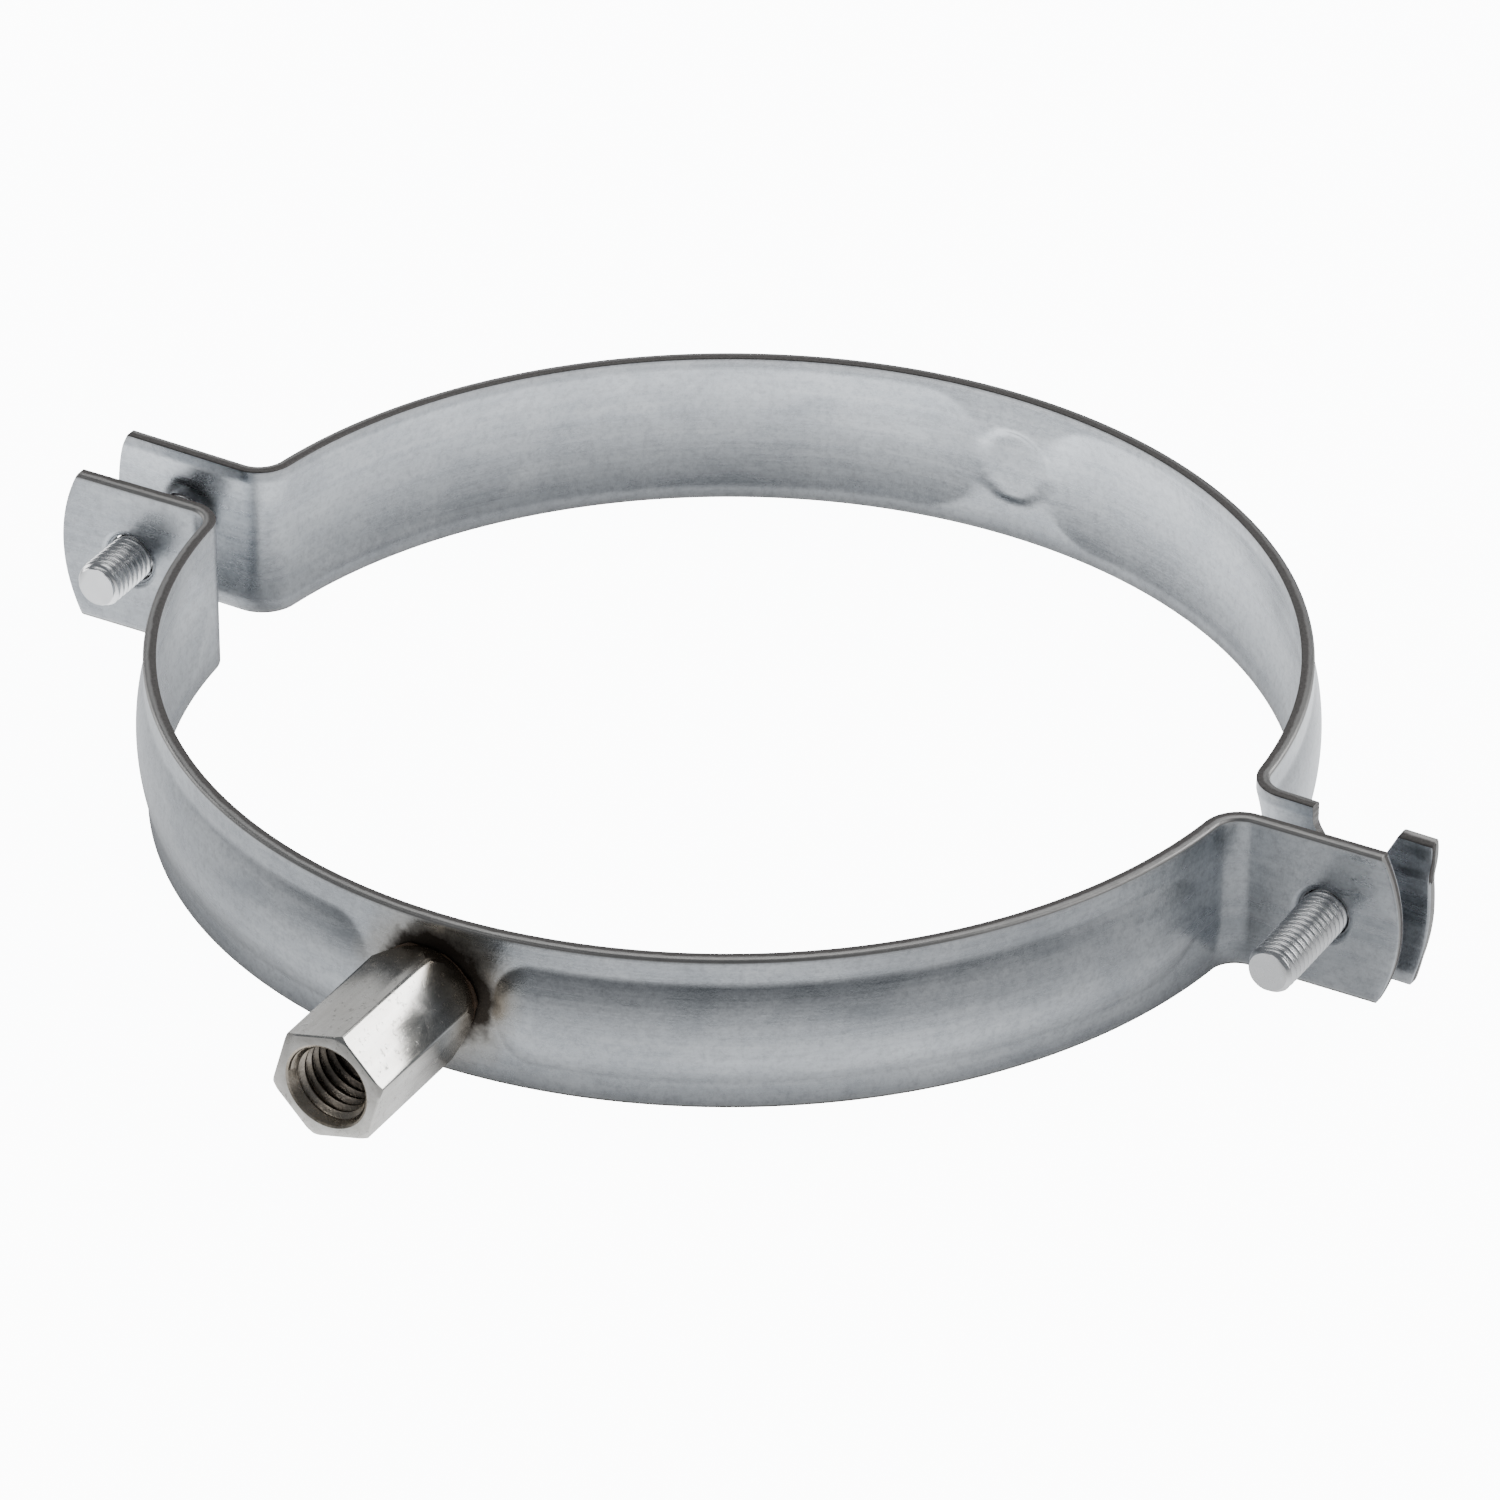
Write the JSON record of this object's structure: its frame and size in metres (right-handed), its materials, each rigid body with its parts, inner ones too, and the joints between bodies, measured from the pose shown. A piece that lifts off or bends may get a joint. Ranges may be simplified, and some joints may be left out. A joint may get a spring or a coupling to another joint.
{
  "type": "duct clamp",
  "caption": "Two-part round duct clamp of beaded strip with screwed ears, a quick-lock slot and a hex connecting nut for a threaded rod.",
  "frame": {"origin": "on the ring's axis, in the plane of the strip's lower edges", "axes": "+Z along the ring's axis, X through both screws with the slotted ear at +X, -Y towards the connecting nut"},
  "size_m": [0.1821, 0.1608, 0.02],
  "materials": {
    "zinc_strip": "zinc-plated, satin",
    "nut_plating": "zinc-plated, semi-bright",
    "screw_zinc": "zinc-plated, bright",
    "weld_scale": "burnt, matt",
    "retainer_fibre": "matt"
  },
  "bodies": {
    "front_half": {"front_band": "zinc_strip", "connecting_nut": "nut_plating", "nut_weld": "weld_scale"},
    "left_disc": {"left_retainer": "retainer_fibre"},
    "left_bolt": {"left_screw": "screw_zinc"},
    "right_disc": {"right_retainer": "retainer_fibre"},
    "right_bolt": {"right_screw": "screw_zinc"},
    "rear_half": {"rear_band": "zinc_strip"}
  },
  "joints": [
    {"name": "left_travel", "type": "slide", "parent": "front_half", "child": "left_disc", "axis": [0, -1, 0], "range_m": [-0.006, 0.0012]},
    {"name": "left_screw_turn", "type": "hinge", "parent": "left_disc", "child": "left_bolt", "pos_m": [-0.081, 0, 0.01], "axis": [0, -1, 0], "range_deg": [-2161, 433]},
    {"name": "right_travel", "type": "slide", "parent": "front_half", "child": "right_disc", "axis": [0, -1, 0], "range_m": [-0.00601, 0.00121]},
    {"name": "right_screw_turn", "type": "hinge", "parent": "right_disc", "child": "right_bolt", "pos_m": [0.081, 0, 0.01], "axis": [0, -1, 0], "range_deg": [-2161, 433]},
    {"name": "rear_swing", "type": "hinge", "parent": "left_disc", "child": "rear_half", "pos_m": [-0.081, 0, 0.01], "axis": [0, 1, 0], "range_deg": [0, 100]}
  ],
  "couplings": [
    {"joint": "left_screw_turn", "follows": "left_travel", "rad_per_m": 6283.2},
    {"joint": "right_travel", "follows": "left_travel", "ratio": 1},
    {"joint": "right_screw_turn", "follows": "left_travel", "rad_per_m": 6283.2}
  ]
}
